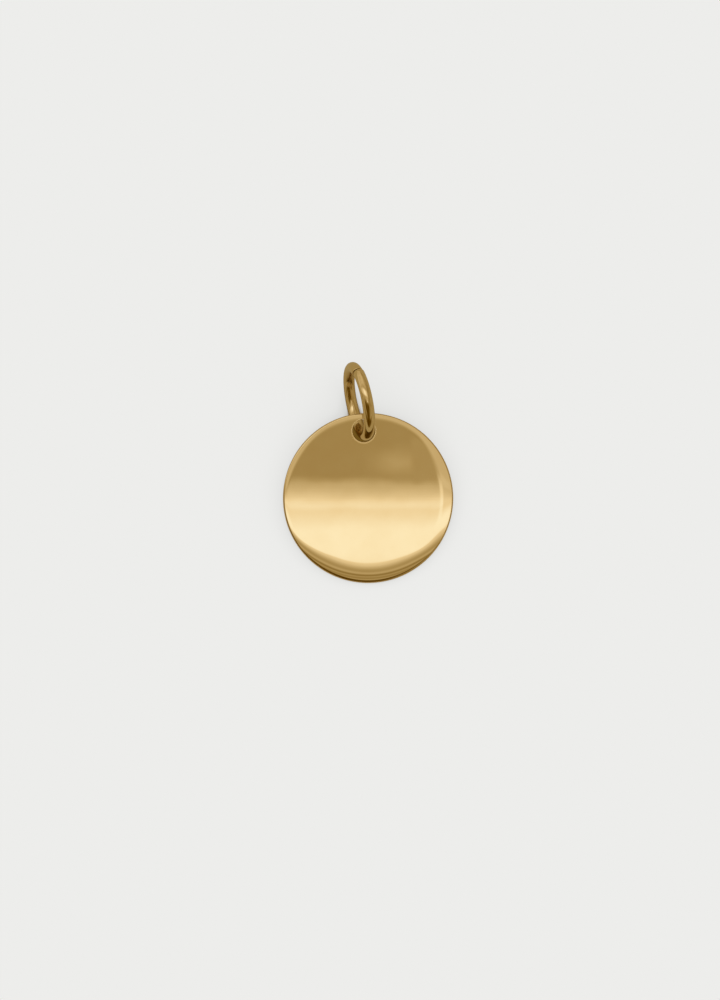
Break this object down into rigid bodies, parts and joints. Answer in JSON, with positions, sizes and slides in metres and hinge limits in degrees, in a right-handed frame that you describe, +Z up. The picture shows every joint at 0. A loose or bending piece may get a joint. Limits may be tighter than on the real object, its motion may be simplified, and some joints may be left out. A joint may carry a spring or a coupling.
{
  "type": "disc pendant",
  "caption": "Flat polished disc charm with softened edges and a small hole near its rim, on an open round jump ring, lying as it is put down.",
  "frame": {"origin": "on the surface that the pendant lies on, under the middle of its outer box", "axes": "+Z up from the surface, out of the disc's face; +Y from the disc towards the jump ring; +X across the disc"},
  "size_m": [0.012, 0.0154, 0.0055],
  "materials": {
    "gold_plated_sheet": "mirror polished gold plating",
    "gold_plated_wire": "bright gold plating on drawn wire"
  },
  "bodies": {
    "root": {"disc": "gold_plated_sheet", "jump_ring": "gold_plated_wire"}
  },
  "joints": []
}
